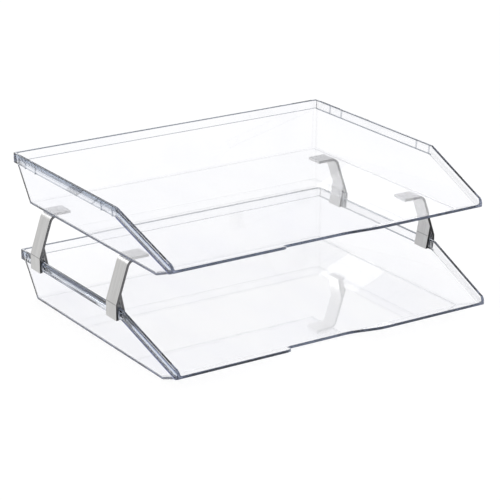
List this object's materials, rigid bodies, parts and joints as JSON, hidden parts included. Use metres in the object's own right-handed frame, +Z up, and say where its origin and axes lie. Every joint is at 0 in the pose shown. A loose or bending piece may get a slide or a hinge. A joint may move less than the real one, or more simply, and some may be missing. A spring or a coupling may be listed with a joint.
{
  "type": "tiered letter tray",
  "caption": "Stacked clear letter trays with a front ramp, finger cut-out and sloping sides, the upper tray resting on bent metal supports that fork over the lower tray's rim.",
  "frame": {"origin": "middle of the lower tray's flat floor, on its underside where it rests on the desk", "axes": "+Z up, -Y towards the open front with the ramp, +X to the right seen from the front"},
  "size_m": [0.3432, 0.2805, 0.1394],
  "materials": {
    "clear_plastic": "clear, glossy",
    "support_metal": "satin, brushed along the bend"
  },
  "bodies": {
    "base": {"lower_tray": "clear_plastic", "rear_left_support": "support_metal", "front_left_support": "support_metal", "rear_right_support": "support_metal", "front_right_support": "support_metal"},
    "upper": {"upper_tray": "clear_plastic"}
  },
  "joints": [
    {"name": "upper_tray_lift", "type": "slide", "parent": "base", "child": "upper", "axis": [0, 0, 1], "range_m": [0, 0.06]}
  ]
}
